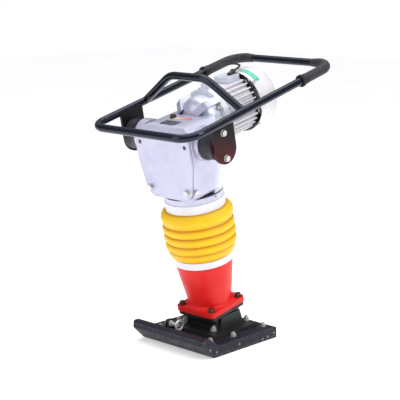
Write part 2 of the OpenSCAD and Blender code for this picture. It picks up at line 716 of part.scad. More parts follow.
// half section of the cowl as (radius, distance to the rear), drawn in by w
function cowl_line(w) = concat([[cowl_r - w, cowl_y0 - w]],
    [for (i = [0:8]) let(a = 90 * i / 8)
        [cowl_r - 26 + (26 - w) * cos(a), cowl_end - 26 + (26 - w) * sin(a)]], [[0, cowl_end - w]]);
module fan_cowl() color("whitesmoke") leg() difference() {
    spun_y(motor_h) polygon(concat(cowl_line(0), [[0, cowl_y0]]));
    spun_y(motor_h) polygon(concat([[cowl_r - cowl_t, cowl_y0 - 1]], cowl_line(cowl_t), [[0, cowl_y0 - 1]]));
    for (a = [0:15:345]) translate([0, 0, motor_h]) rotate([0, a, 0])
        block(-2, 2, cowl_end - 10, cowl_end + 5, 26, 62);
    for (a = [45:90:315]) translate([0, 0, motor_h]) rotate([0, a, 0])
        rod_z(90, 100, 2.6, 0, shield_y + 9);
}

module cowl_screws() color("silver") leg() for (a = [45:90:315])
    translate([0, 0, motor_h]) rotate([0, a, 0]) translate([0, shield_y + 9, 0]) {
        rod_z(82, cowl_r, 2.4);
        rod_z(cowl_r, cowl_r + 2.4, 5);
    }

// terminal box on the flat saddle of the frame
box_y0 = 184;
box_y1 = 236;
box_mid = (box_y0 + box_y1) / 2;
box_low = motor_h + saddle;
wall_h = 13;
lid_top = box_low + wall_h + 4;
module box_ring(hw, grow, r) translate([0, box_mid])
    polygon(rounded(box_outline(hw, box_y1 - box_mid + grow), r));
module terminal_box() color("gainsboro") leg() difference() {
    translate([0, 0, box_low]) linear_extrude(wall_h) box_ring(31, 0, 5);
    translate([0, 0, box_low + 3]) linear_extrude(wall_h) box_ring(28, -3, 3);
}

module terminal_lid() color("gainsboro") leg() {
    translate([0, 0, box_low + wall_h]) linear_extrude(4) box_ring(32, 1, 6);
    for (x = [-26, 26], y = [box_y0 + 6, box_y1 - 6]) rod_z(lid_top, lid_top + 1.5, 3.2, x, y);
}

// gland on the lid, pointing back and a little upwards, for the motor cable
gland_at = [6, 225, lid_top + 3.5];
gland_tilt = 15;
module cable_gland() color([0.1, 0.1, 0.1]) leg() difference() {
    translate(gland_at) rotate([gland_tilt - 90, 0, 0]) {
        rod_z(-10, 8, 7.5);
        translate([0, 0, 7]) cylinder(h = 6, r = 16 / sqrt(3), $fn = 6);
        rod_z(12, 18, 6);
    }
    translate([gland_at.x - 20, gland_at.y - 30, lid_top - 30]) cube([40, 60, 30]);
    translate(gland_at) rotate([gland_tilt - 90, 0, 0]) rod_z(-5, 19, cable_r + 0.1);
}

// ---- rubber mounts and handle ----

module mount_inner_plates() color("dimgray") leg() both_sides() {
    rod_x(boss_x, boss_x + face_t, drum_r - 1, mount_y, mount_h);
    rod_x(boss_x - 14, boss_x, 5, mount_y, mount_h);
}
module shock_mounts() color([0.08, 0.08, 0.09]) leg() both_sides() {
    x0 = boss_x + face_t;
    x1 = ear_x0 - face_t - gap;
    waist = 3;
    translate([0, mount_y, mount_h]) rotate([0, 90, 0]) rotate_extrude() polygon(concat([[0, x0]],
        [for (i = [0:8]) let(t = i / 8) [drum_r - waist * sin(180 * t), x0 + (x1 - x0) * t]], [[0, x1]]));
}

module mount_outer_plates() color("dimgray") leg() both_sides() difference() {
    rod_x(ear_x0 - face_t, ear_x0, drum_r - 1, mount_y, mount_h);
    for (s = [-1, 1]) rod_x(ear_x0 - 5, ear_x0 + 1, 4.9, mount_y, mount_h + s * ear_bolt);
}

// plate welded under the rail, round at its lower end
module handle_brackets() color([0.12, 0.1, 0.1]) leg() both_sides() difference() {
    slab_x(ear_x0, ear_x0 + ear_t) union() {
        translate([ear_y, ear_h]) circle(ear_r);
        polygon([[ear_y - ear_r, ear_h], [ear_y + ear_r, ear_h],
            [ear_y + ear_r, rail_h + 10], [ear_y - ear_r, rail_h + 5]]);
    }
    for (s = [-1, 1]) rod_x(ear_x0 - 1, ear_x0 + ear_t + 1, 5.2, mount_y, mount_h + s * ear_bolt);
    translate([0, rail_y, rail_h]) rotate([rise, 0, 0]) rail_solid(tube_d / 2);
}

module handle_bolts() color("silver") leg() both_sides() for (s = [-1, 1])
    translate([0, mount_y, mount_h + s * ear_bolt]) {
        rod_x(ear_x0 - face_t, ear_x0 + ear_t, 4.8);
        rod_x(ear_x0 + ear_t, ear_x0 + ear_t + 2, 10);
        translate([ear_x0 + ear_t + 2, 0, 0]) rotate([0, 90, 0]) cylinder(h = 7, r = 16 / sqrt(3), $fn = 6);
    }

// quarter bend of the loop about (x, y), starting at angle a
module bend(x, y, big, r, a, sweep = 90)
    translate([x, y, 0]) rotate([0, 0, a]) rotate_extrude(angle = sweep) translate([big, 0]) circle(r);
module rail_solid(r) both_sides() {
    rod_y(front_bend, loop_l - rear_bend, r, loop_hw, 0);
}
module loop_solid(r) {
    rail_solid(r);
    rod_x(-loop_hw + front_bend, loop_hw - front_bend, r, 0, 0);
    rod_x(-loop_hw + rear_bend, loop_hw - rear_bend, r, loop_l, 0);
    both_sides() {
        bend(loop_hw - front_bend, front_bend, front_bend, r, -90);
        bend(loop_hw - rear_bend, loop_l - rear_bend, rear_bend, r, 0);
    }
}
// arch over the loop: a bent tube in an upright plane between the two rails
arch_slope = atan(arch_rise / (loop_hw - arch_hw));
arch_cut = arch_bend * tan(arch_slope / 2);
module arch_solid(r) translate([0, arch_s, 0]) {
    // straight runs reach a little way into the bends, which are a hair fatter
    over = 1.5;
    swell = 0.12;
    leg_l = norm([loop_hw - arch_hw, arch_rise]) - arch_cut;
    rod_x(-arch_hw + arch_cut - over, arch_hw - arch_cut + over, r, 0, arch_rise);
    both_sides() {
        translate([loop_hw, 0, 0]) rotate([0, arch_slope - 90, 0]) rod_z(0, leg_l + over, r);
        translate([arch_hw - arch_cut, 0, arch_rise - arch_bend]) rotate([90, 0, 0])
            rotate([0, 0, 90 - arch_slope]) rotate_extrude(angle = arch_slope)
                translate([arch_bend, 0]) circle(r + swell);
    }
}

module handle_loop() color([0.09, 0.1, 0.13]) loop() difference() {
    loop_solid(tube_d / 2);
    loop_solid(tube_d / 2 - tube_wall);
    // weep holes that drain the tubes
    rod_z(-tube_d, 0, 2, 0, 0);
    rod_z(-tube_d, 0, 2, 0, loop_l);
}

// arch welded on top of the rails
module handle_arch() color([0.09, 0.1, 0.13]) loop() difference() {
    arch_solid(tube_d / 2 - 0.1);
    arch_solid(tube_d / 2 - 0.1 - tube_wall);
    rail_solid(tube_d / 2);
}

module handle_grips() color([0.2, 0.2, 0.21]) loop() both_sides() {
    difference() {
        union() {
            rod_y(grip_s, loop_l - rear_bend, grip_r, loop_hw, 0);
            bend(loop_hw - rear_bend, loop_l - rear_bend, rear_bend, grip_r, 0);
            rod_x(loop_hw - rear_bend - 22, loop_hw - rear_bend, grip_r, loop_l, 0);
            rod_y(grip_s - 7, grip_s, collar_r, loop_hw, 0);
        }
        rod_y(grip_s - 8, loop_l - rear_bend, tube_d / 2, loop_hw, 0);
        bend(loop_hw - rear_bend, loop_l - rear_bend, rear_bend, tube_d / 2, 0);
        rod_x(loop_hw - rear_bend - 23, loop_hw - rear_bend, tube_d / 2, loop_l, 0);
    }
}

// rubber boot on the left rail, where the motor cable enters the tube
module cable_boot() color([0.1, 0.1, 0.1]) loop() difference() {
    rod_y(boot_s[0], boot_s[1], 6, -loop_hw + boot_off.x, boot_off.y);
    rod_y(boot_s[0] + 4, boot_s[1] + 1, cable_r + 0.6, -loop_hw + boot_off.x, boot_off.y);
    rod_y(boot_s[0] - 1, boot_s[1] + 1, tube_d / 2, -loop_hw, 0);
}

// point at t between b and c on the curve through a, b, c, d
function between(a, b, c, d, t) = b + (c - a) * t / 2 + (2 * a - 5 * b + 4 * c - d) * t * t / 2
    + (3 * b - a - 3 * c + d) * t * t * t / 2;
module hose(p, r, sides = 8, steps = 3) {
    n = len(p);
    way = concat([for (i = [0:n - 2], k = [0:steps - 1])
        between(p[max(0, i - 1)], p[i], p[i + 1], p[min(n - 1, i + 2)], k / steps)], [p[n - 1]]);
    m = len(way);
    pts = [for (i = [0:m - 1]) let(d = way[min(m - 1, i + 1)] - way[max(0, i - 1)],
            u = cross(d, [0, 0, 1]) / norm(cross(d, [0, 0, 1])), v = cross(u, d) / norm(d))
        each [for (j = [0:sides - 1]) way[i] + r * (cos(360 * j / sides) * u + sin(360 * j / sides) * v)]];
    wall = [for (i = [0:m - 2], j = [0:sides - 1]) let(k = (j + 1) % sides)
        [i * sides + j, (i + 1) * sides + j, (i + 1) * sides + k, i * sides + k]];
    start = [for (j = [0:sides - 1]) j];
    end = [for (j = [sides - 1:-1:0]) (m - 1) * sides + j];
    polyhedron(pts, concat([start], wall, [end]));
}
module motor_cable() color([0.06, 0.06, 0.07]) leg() hose(cable_way, cable_r);

// ---- crank train in the leg ----

module piston_rod() color("silver") leg() difference() {
    union() {
        rod_z(piston_h - piston_t / 2 - 14, wrist_h - 25, rod_r);
        // fork round the small end of the connecting rod
        intersection() {
            block(-16, 16, -20, 20, wrist_h - 33, wrist_h + 16);
            union() {
                rod_y(-20, 20, 16, 0, wrist_h);
                block(-16, 16, -20, 20, wrist_h - 33, wrist_h);
            }
        }
    }
    block(-17, 17, -fork_gap, fork_gap, wrist_h - 18, wrist_h + 17);
    rod_y(-21, 21, wrist_r, 0, wrist_h);
}

module spring_piston() color("silver") leg() difference() {
    union() {
        rod_z(piston_h - piston_t / 2, piston_h + piston_t / 2, bore_r - play);
        hex_z(piston_h - piston_t / 2 - 12, piston_h - piston_t / 2, 36);
    }
    rod_z(piston_h - 30, piston_h + 30, rod_r);
}

module wrist_pin() color("gray") leg() rod_y(-19.5, 19.5, wrist_r, 0, wrist_h);

module connecting_rod() color("lightslategray") leg() difference() {
    union() {
        rod_y(-10, 10, 15, 0, wrist_h);
        rod_y(-10, 10, 22, 0, crankpin_h);
        block(-9, 9, -7, 7, wrist_h, crankpin_h);
    }
    rod_y(-11, 11, wrist_r + play, 0, wrist_h);
    rod_y(-11, 11, crankpin_r, 0, crankpin_h);
}

module crank_pin() color("gray") leg() {
    rod_y(-12, gear_y0 - 0.5, crankpin_r, 0, crankpin_h);
    rod_y(-14, -12, 16, 0, crankpin_h);
}

// ---- nodes ----

sole_plate();
shoe_board();
side_nails();
board_bolts();
foot_bracket();
bracket_nuts();
transport_eye();
spring_cylinder();
cylinder_sleeve();
cylinder_cap();
rod_bush();
flange_bolts();
lower_springs();
upper_springs();
lower_band();
bellows();
guide_cylinder();
guide_bolts();
upper_band();
crankcase();
gaskets();
front_cover();
cover_bolts();
filler_plug();
drain_plug();
data_plate();
ball_bearings();
shaft_seal();
motor_front_shield();
motor_frame();
stator_core();
stator_windings();
motor_rear_shield();
motor_nuts();
fan_cowl();
cowl_screws();
terminal_box();
terminal_lid();
cable_gland();
mount_inner_plates();
shock_mounts();
crank_gear();
crank_shaft();
motor_shaft();
drive_pinion();
rotor_core();
cooling_fan();
piston_rod();
spring_piston();
wrist_pin();
connecting_rod();
crank_pin();
handle_loop();
handle_arch();
handle_brackets();
mount_outer_plates();
handle_bolts();
handle_grips();
cable_boot();
motor_cable();
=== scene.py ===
import math

import bmesh
import bpy
from mathutils import Matrix, Vector, noise


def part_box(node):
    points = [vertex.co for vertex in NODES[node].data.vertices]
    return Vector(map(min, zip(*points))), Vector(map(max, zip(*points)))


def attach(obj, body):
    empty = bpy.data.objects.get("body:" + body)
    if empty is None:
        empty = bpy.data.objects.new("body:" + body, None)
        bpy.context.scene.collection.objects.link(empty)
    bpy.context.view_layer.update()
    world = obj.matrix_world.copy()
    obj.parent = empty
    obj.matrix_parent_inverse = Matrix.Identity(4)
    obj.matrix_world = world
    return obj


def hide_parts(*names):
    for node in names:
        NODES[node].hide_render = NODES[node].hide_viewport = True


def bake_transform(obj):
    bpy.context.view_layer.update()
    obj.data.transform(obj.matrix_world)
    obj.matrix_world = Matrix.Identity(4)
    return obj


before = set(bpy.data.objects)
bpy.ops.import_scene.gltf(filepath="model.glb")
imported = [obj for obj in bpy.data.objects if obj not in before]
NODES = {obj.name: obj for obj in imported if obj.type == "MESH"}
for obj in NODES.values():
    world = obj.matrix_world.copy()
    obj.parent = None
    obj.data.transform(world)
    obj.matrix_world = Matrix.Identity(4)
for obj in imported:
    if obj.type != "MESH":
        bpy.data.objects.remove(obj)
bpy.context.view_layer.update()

MM = 0.001

# ---- the leg's and the handle's own frames, as the CAD lays them out ----

LEG = Matrix.Translation((0, 0, 124 * MM)) @ Matrix.Rotation(math.radians(11.8), 4, "X")
LOOP = LEG @ Matrix.Translation((0, -182 * MM, 603 * MM)) @ Matrix.Rotation(math.radians(3), 4, "X")
BAND_LOW, BAND_HIGH = 160, 317      # leg heights of the bands that hold the bellows
MOTOR_H = 567.5                     # leg height of the motor's axis
COWL_R = 95.0
CASE_TOP = 593.0                    # leg height of the crankcase's top
LOOP_HW, LOOP_L = 201.0, 660.0      # the handle loop's half width and length
REAR_BEND = 58.0


def leg(x, y, z):
    return LEG @ Vector((x * MM, y * MM, z * MM))


def loop(x, y, z):
    return LOOP @ Vector((x * MM, y * MM, z * MM))


# ---- camera ----

AZIMUTH, ELEVATION = math.radians(43.683), math.radians(11.368)
back = Vector((math.sin(AZIMUTH) * math.cos(ELEVATION), -math.cos(AZIMUTH) * math.cos(ELEVATION),
               math.sin(ELEVATION)))
right = Vector((math.cos(AZIMUTH), math.sin(AZIMUTH), 0))
up = back.cross(right)
CAMERA_AT = Vector((2.4958, -2.6592, 1.1720))
camera_data = bpy.data.cameras.new("camera")
camera_data.lens = 109.125
camera_data.sensor_width = 36.0
camera_data.clip_end = 60
camera = bpy.data.objects.new("camera", camera_data)
camera.matrix_world = Matrix((
    (right.x, up.x, back.x, CAMERA_AT.x), (right.y, up.y, back.y, CAMERA_AT.y),
    (right.z, up.z, back.z, CAMERA_AT.z), (0, 0, 0, 1)))
bpy.context.scene.collection.objects.link(camera)
bpy.context.scene.camera = camera


# ---- mesh tools ----

def add_object(name, bm):
    """Smooth-shaded object from a bmesh, linked to the scene."""
    bmesh.ops.recalc_face_normals(bm, faces=bm.faces)
    mesh = bpy.data.meshes.new(name)
    bm.to_mesh(mesh)
    bm.free()
    obj = bpy.data.objects.new(name, mesh)
    bpy.context.scene.collection.objects.link(obj)
    for face in mesh.polygons:
        face.use_smooth = True
    return obj


def spline(points, steps):
    """Catmull-Rom curve through the points."""
    out = []
    n = len(points)
    for i in range(n - 1):
        a, b = points[max(0, i - 1)], points[i]
        c, d = points[i + 1], points[min(n - 1, i + 2)]
        for k in range(steps):
            t = k / steps
            out.append(b + (c - a) * (t / 2) + (2 * a - 5 * b + 4 * c - d) * (t * t / 2)
                       + (3 * b - a - 3 * c + d) * (t * t * t / 2))
    out.append(points[-1])
    return out


def sweep(bm, path, radius, sides, cap=True):
    """Tube along a path; radius(i, angle) gives its radius. Returns the rings."""
    rings = []
    normal = None
    for i, p in enumerate(path):
        d = (path[min(len(path) - 1, i + 1)] - path[max(0, i - 1)]).normalized()
        if normal is None:
            normal = d.orthogonal().normalized()
        normal = (normal - d * normal.dot(d)).normalized()
        side = d.cross(normal)
        ring = []
        for j in range(sides):
            a = 2 * math.pi * j / sides
            ring.append(bm.verts.new(p + (normal * math.cos(a) + side * math.sin(a)) * radius(i, a)))
        rings.append(ring)
    for a, b in zip(rings, rings[1:]):
        for j in range(sides):
            bm.faces.new((a[j], a[(j + 1) % sides], b[(j + 1) % sides], b[j]))
    if cap:
        bm.faces.new(rings[0][::-1])
        bm.faces.new(rings[-1])
    return rings


# ---- motor cable: from the terminal box's gland round to the boot on the left rail ----

CABLE_R = 3.2 * MM
CABLE_WAY = [(-188, 266, 635.1), (-188, 280, 636), (-186, 295, 638.4), (-183.4, 310, 641.9),
             (-182.1, 325, 643), (-182.4, 340, 641.9), (-183, 354.4, 639.5), (-183, 368.4, 637.6),
             (-179.6, 381.2, 636.9), (-171, 392.2, 637), (-159.2, 397.7, 637.6),
             (-146, 397.2, 638.8), (-133.7, 391.4, 641.4), (-121, 380.4, 645), (-95, 358, 652.5),
             (-64, 332, 660.6), (-35, 308.5, 667.4), (-15, 291, 671.6), (-1.5, 274.5, 673.6),
             (4.6, 259, 673.3), (6, 245, 671.3), (6, 233.5, 668.4), (6, 222, 665.2)]
cable_path = spline([leg(*p) for p in reversed(CABLE_WAY)], 5)
bm = bmesh.new()
sweep(bm, cable_path, lambda i, a: CABLE_R, 14)
cable = add_object("lead_to_handle", bm)
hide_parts("motor_cable")


# ---- bellows: a moulded rubber sleeve with four soft folds ----

# each fold: low and high height, radius of the groove below, of the groove above, and of its crown
FOLDS = [(190, 216, 105.0, 104.4, 110.2), (216, 243.5, 104.4, 104.4, 111.4),
         (243.5, 271, 104.4, 104.6, 111.5), (271, 315.5, 104.6, 93.5, 111.2)]
FOLD_STEPS = 18
BELLOWS_SIDES = 160
WALL = 3.4
CUFF_BORE = 87.2                    # inside the two cuffs, where the bands clamp
LOW_CUFF_BORE = 89.15
FREE_LOW, FREE_HIGH = 176, 306      # between these heights the rubber is a little uneven


def fold_profile():
    """(radius, height, how far into a groove, which sets the painted groove shade) down the outside of the
    sleeve.
    """
    line = [(90.4, 139.5, 0.0), (90.4, 158.5, 0.0), (91.8, 160.6, 1.0), (95.2, 163.5, 0.5),
            (99.4, 169.5, 0.12), (103.2, 178.0, 0.0), (105.0, 185.0, 0.3)]
    last = FOLDS[-1]
    for fold in FOLDS:
        low, high, r0, r1, top = fold
        for i in range(FOLD_STEPS):
            t = i / FOLD_STEPS
            base = r0 + (r1 - r0) * t
            bulge = math.sin(math.pi * t) ** 0.58
            groove_shade = (1 - math.sin(math.pi * t)) ** 1.5 if fold is not last or t < 0.5 else 0.0
            line.append((base + (top - base) * bulge, low + (high - low) * t, groove_shade))
    line += [(93.0, 315.9, 1.0), (90.5, 317.6, 0.6), (90.4, 319.5, 0.0), (90.4, 343.5, 0.0)]
    return line


outer = fold_profile()
inner = []
for r, z, g in reversed(outer):
    r = min(r - WALL, CUFF_BORE if z < BAND_LOW or z > BAND_HIGH + 1 else r)
    inner.append((LOW_CUFF_BORE if z < BAND_LOW + 3.2 else r, z))
bm = bmesh.new()
groove = bm.verts.layers.float.new("groove")
rings = []
for k, (r, z, g) in enumerate(outer + [(r, z, 0.0) for r, z in inner]):
    ring = []
    free = 1.0 if FREE_LOW < z < FREE_HIGH and k < len(outer) else 0.0
    for j in range(BELLOWS_SIDES):
        a = 2 * math.pi * j / BELLOWS_SIDES
        c, s = math.cos(a), math.sin(a)
        wave = noise.noise(Vector((c * 1.3, s * 1.3, z * 0.02))) * 0.7
        lift = noise.noise(Vector((c * 1.1, s * 1.1, 7 + z * 0.012))) * 2.2
        v = bm.verts.new(leg((r + free * wave) * c, (r + free * wave) * s, z + free * lift))
        v[groove] = g
        ring.append(v)
    rings.append(ring)
for a, b in zip(rings, rings[1:] + rings[:1]):
    for j in range(BELLOWS_SIDES):
        bm.faces.new((a[j], a[(j + 1) % BELLOWS_SIDES], b[(j + 1) % BELLOWS_SIDES], b[j]))
sleeve = add_object("bellows_sleeve", bm)
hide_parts("bellows")


# ---- rubber hand grips, ribbed at the collar and knurled along the sleeve ----

GRIP_START = 498.0                  # distance along the loop from its front tube
GRIP_PAST_BEND = 21                 # how far a grip runs along the rear tube
BEND_STEPS = 92
GRIP_BORE = 12.05
GRIP_SIDES = 72
FLANGE_R, FLANGE_GAP_R = 19.0, 16.2
FIRST_FLANGE, GAP, SECOND_FLANGE = 2.2, 5.2, 7.4    # where each part of the collar ends
RIB_END, RIB_PITCH = 30, 3.4
TAPER = 30.0


def grip_path(side):
    """Centre line of a grip, with its points about a millimetre apart."""
    pts = []
    y = GRIP_START
    while y < LOOP_L - REAR_BEND:
        pts.append((LOOP_HW, y))
        y += 1.0
    for i in range(BEND_STEPS + 1):
        a = math.pi / 2 * i / BEND_STEPS
        pts.append((LOOP_HW - REAR_BEND + REAR_BEND * math.cos(a),
                    LOOP_L - REAR_BEND + REAR_BEND * math.sin(a)))
    for i in range(1, GRIP_PAST_BEND + 1):
        pts.append((LOOP_HW - REAR_BEND - i, LOOP_L))
    return [loop(side * x, y, 0) for x, y in pts]


def grip_radius(s, total, a):
    """Radius at distance s along the grip, at angle a."""
    if s < FIRST_FLANGE or GAP < s < SECOND_FLANGE:
        return FLANGE_R
    if s < GAP:
        return FLANGE_GAP_R
    if s < RIB_END:
        return 15.6 + 0.5 * math.cos(2 * math.pi * s / RIB_PITCH)
    ridge = math.cos(12 * a + s * 0.85) * math.cos(12 * a - s * 0.85)
    taper = min(1.0, (total - s) / TAPER)
    return 12.7 + 2.4 * taper + 0.38 * ridge * taper


grips = []
for side, label in ((1, "right"), (-1, "left")):
    path = grip_path(side)
    total = len(path) - 1.0
    bm = bmesh.new()
    rings = sweep(bm, path, lambda i, a: grip_radius(i, total, a) * MM, GRIP_SIDES, cap=False)
    bore = sweep(bm, path, lambda i, a: GRIP_BORE * MM, GRIP_SIDES, cap=False)
    for end in (0, -1):
        for j in range(GRIP_SIDES):
            k = (j + 1) % GRIP_SIDES
            bm.faces.new((rings[end][j], rings[end][k], bore[end][k], bore[end][j]))
    grip = add_object("grip_" + label, bm)
    if side > 0:
        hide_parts("handle_grips")
    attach(grip, "handle")
    grips.append(grip)


# ---- ramming springs: round wire, closed end turns, an inner coil inside each outer one ----

COIL_STEPS = 30                     # points in each turn
COIL_SIDES = 12
END_TURN = 0.75                     # the part of a turn that lies flat at each end
END_RISE = 0.9                      # how far a flat turn climbs in one turn, in wire radii


def coil(bm, radius, wire, turns, low, high, hand):
    """Helix about the leg's axis between two leg heights, in millimetres; wire is the wire's radius."""
    count = int(turns * COIL_STEPS)
    path = []
    for i in range(count + 1):
        t = turns * i / count
        rise = max(0.0, min(1.0, (t - END_TURN) / (turns - 2 * END_TURN)))
        z = low + wire + rise * (high - low - 3.36 * wire)
        z += END_RISE * wire * t if t < END_TURN else 0.68 * wire
        if t > turns - END_TURN:
            z += END_RISE * wire * (t - turns + END_TURN)
        a = hand * 2 * math.pi * t
        path.append(leg(radius * math.cos(a), radius * math.sin(a), z))
    sweep(bm, path, lambda i, a: wire * MM, COIL_SIDES)


springs = []
for label, low, high, inner_r, inner_w in (("lower", -5.5, 107.5, 27, 4.2),
                                           ("upper", 132.5, 257.5, 29.5, 4)):
    bm = bmesh.new()
    coil(bm, 43, 6, 5, low, high, 1)
    coil(bm, inner_r, inner_w, 6, low, high, -1)
    obj = add_object(label + "_coils", bm)
    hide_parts(label + "_springs")
    springs.append(obj)


# ---- plain film labels ----

FILM_LIFT = 0.00002
FILM_STEPS = 40
LEG_UP = LEG.to_3x3() @ Vector((0, 0, 1))


def film(name, grid, thick):
    """Thin closed sheet from a grid of (point, normal)."""
    bm = bmesh.new()
    top = [[bm.verts.new(p + n * thick) for p, n in row] for row in grid]
    low = [[bm.verts.new(p + n * FILM_LIFT) for p, n in row] for row in grid]
    rows, cols = len(grid), len(grid[0])
    for i in range(rows - 1):
        for j in range(cols - 1):
            bm.faces.new((top[i][j], top[i][j + 1], top[i + 1][j + 1], top[i + 1][j]))
            bm.faces.new((low[i][j], low[i + 1][j], low[i + 1][j + 1], low[i][j + 1]))
    for i in range(rows - 1):
        bm.faces.new((top[i][0], top[i + 1][0], low[i + 1][0], low[i][0]))
        bm.faces.new((top[i][-1], low[i][-1], low[i + 1][-1], top[i + 1][-1]))
    for j in range(cols - 1):
        bm.faces.new((top[0][j], low[0][j], low[0][j + 1], top[0][j + 1]))
        bm.faces.new((top[-1][j], top[-1][j + 1], low[-1][j + 1], low[-1][j]))
    return add_object(name, bm)


def rounded_span(t, half, corner):
    """Half height of a round-cornered label at t along its half length."""
    x = abs(t)
    if x < half[0] - corner:
        return half[1]
    d = x - (half[0] - corner)
    return half[1] - corner + math.sqrt(max(0.0, corner * corner - d * d))


grid = []
for i in range(FILM_STEPS + 1):
    turn = 3.0 + 43.0 * i / FILM_STEPS
    reach = rounded_span((2 * i / FILM_STEPS - 1) * 35, (35, 10.5), 5)
    row = []
    for k in range(-4, 5):
        a = math.radians(turn)
        n = LEG.to_3x3() @ Vector((math.sin(a), 0, math.cos(a)))
        row.append((leg(COWL_R * math.sin(a), 273 + reach * k / 4, MOTOR_H + COWL_R * math.cos(a)), n))
    grid.append(row)
cowl_label = film("cowl_label", grid, 0.0004)

grid = []
for i in range(FILM_STEPS + 1):
    t = 2 * i / FILM_STEPS - 1
    reach = rounded_span(t * 36, (36, 8.5), 7)
    middle = -8 + 2 * math.sin(t * 2.2)
    grid.append([(leg(10 + t * 36, middle + reach * k / 4, CASE_TOP), LEG_UP) for k in range(-4, 5)])
case_label = film("case_label", grid, 0.0003)
for obj in (cowl_label, case_label):
    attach(obj, "machine")


# ---- materials ----

def rgb(r, g, b):
    """Linear colour from an sRGB one given as 0..255."""
    linear = [(c / 255) / 12.92 if c <= 10 else ((c / 255 + 0.055) / 1.055) ** 2.4 for c in (r, g, b)]
    return tuple(linear) + (1.0,)


class Finish:
    """A procedural surface: mottled colour, grain, rounded edges, wear on the edges and painted shade in the
    corners.
    """

    def __init__(self, name):
        self.m = bpy.data.materials.new(name)
        self.m.use_nodes = True
        self.t = self.m.node_tree
        self.shader = self.t.nodes["Principled BSDF"]
        coords = self.t.nodes.new("ShaderNodeTexCoord")
        self.where = coords.outputs["Object"]

    def node(self, kind, **values):
        n = self.t.nodes.new(kind)
        for k, v in values.items():
            setattr(n, k, v)
        return n

    def put(self, target, source):
        if isinstance(source, bpy.types.NodeSocket):
            self.t.links.new(source, target)
        else:
            target.default_value = source

    def place(self, axis):
        """Distance along X, Y or Z, in metres."""
        split = self.node("ShaderNodeSeparateXYZ")
        self.t.links.new(self.where, split.inputs[0])
        return split.outputs[axis]

    def noise(self, scale, detail=4.0, rough=0.55, stretch=None, distort=0.0):
        n = self.node("ShaderNodeTexNoise")
        n.inputs["Scale"].default_value = scale
        n.inputs["Detail"].default_value = detail
        n.inputs["Roughness"].default_value = rough
        n.inputs["Distortion"].default_value = distort
        where = self.where
        if stretch:
            m = self.node("ShaderNodeMapping")
            m.inputs["Scale"].default_value = stretch
            self.t.links.new(where, m.inputs["Vector"])
            where = m.outputs["Vector"]
        self.t.links.new(where, n.inputs["Vector"])
        return n.outputs["Fac"]

    def remap(self, value, a, b, c=0.0, d=1.0):
        n = self.node("ShaderNodeMapRange")
        n.clamp = True
        for key, v in (("Value", value), ("From Min", a), ("From Max", b), ("To Min", c), ("To Max", d)):
            self.put(n.inputs[key], v)
        return n.outputs["Result"]

    def math(self, op, a, b=0.0):
        n = self.node("ShaderNodeMath", operation=op)
        self.put(n.inputs[0], a)
        self.put(n.inputs[1], b)
        return n.outputs[0]

    def mix(self, factor, a, b):
        n = self.node("ShaderNodeMix", data_type="RGBA")
        for key, v in (("Factor", factor), ("A", a), ("B", b)):
            sockets = [s for s in n.inputs if s.name == key and (s.type == "RGBA" or key == "Factor")]
            self.put(sockets[0], v)
        return [s for s in n.outputs if s.type == "RGBA"][0]

    def edges(self, radius):
        """(rounded normal, how much of an edge this is)."""
        bevel = self.node("ShaderNodeBevel", samples=4)
        bevel.inputs["Radius"].default_value = radius
        geo = self.node("ShaderNodeNewGeometry")
        dot = self.node("ShaderNodeVectorMath", operation="DOT_PRODUCT")
        self.t.links.new(bevel.outputs["Normal"], dot.inputs[0])
        self.t.links.new(geo.outputs["Normal"], dot.inputs[1])
        return bevel.outputs["Normal"], self.remap(dot.outputs["Value"], 0.995, 0.90)

    # mask for painted shade: high where ambient occlusion finds other surfaces close by
    def corners(self, distance):
        ao = self.node("ShaderNodeAmbientOcclusion", samples=6)
        ao.inputs["Distance"].default_value = distance
        return self.remap(ao.outputs["AO"], 0.85, 0.25)

    def bump(self, height, strength, distance, normal=None):
        n = self.node("ShaderNodeBump")
        n.inputs["Strength"].default_value = strength
        n.inputs["Distance"].default_value = distance
        self.t.links.new(height, n.inputs["Height"])
        if normal is not None:
            self.t.links.new(normal, n.inputs["Normal"])
        return n.outputs["Normal"]


def shade(colour, k):
    return tuple(min(1.0, c * k) for c in colour[:3]) + (1.0,)


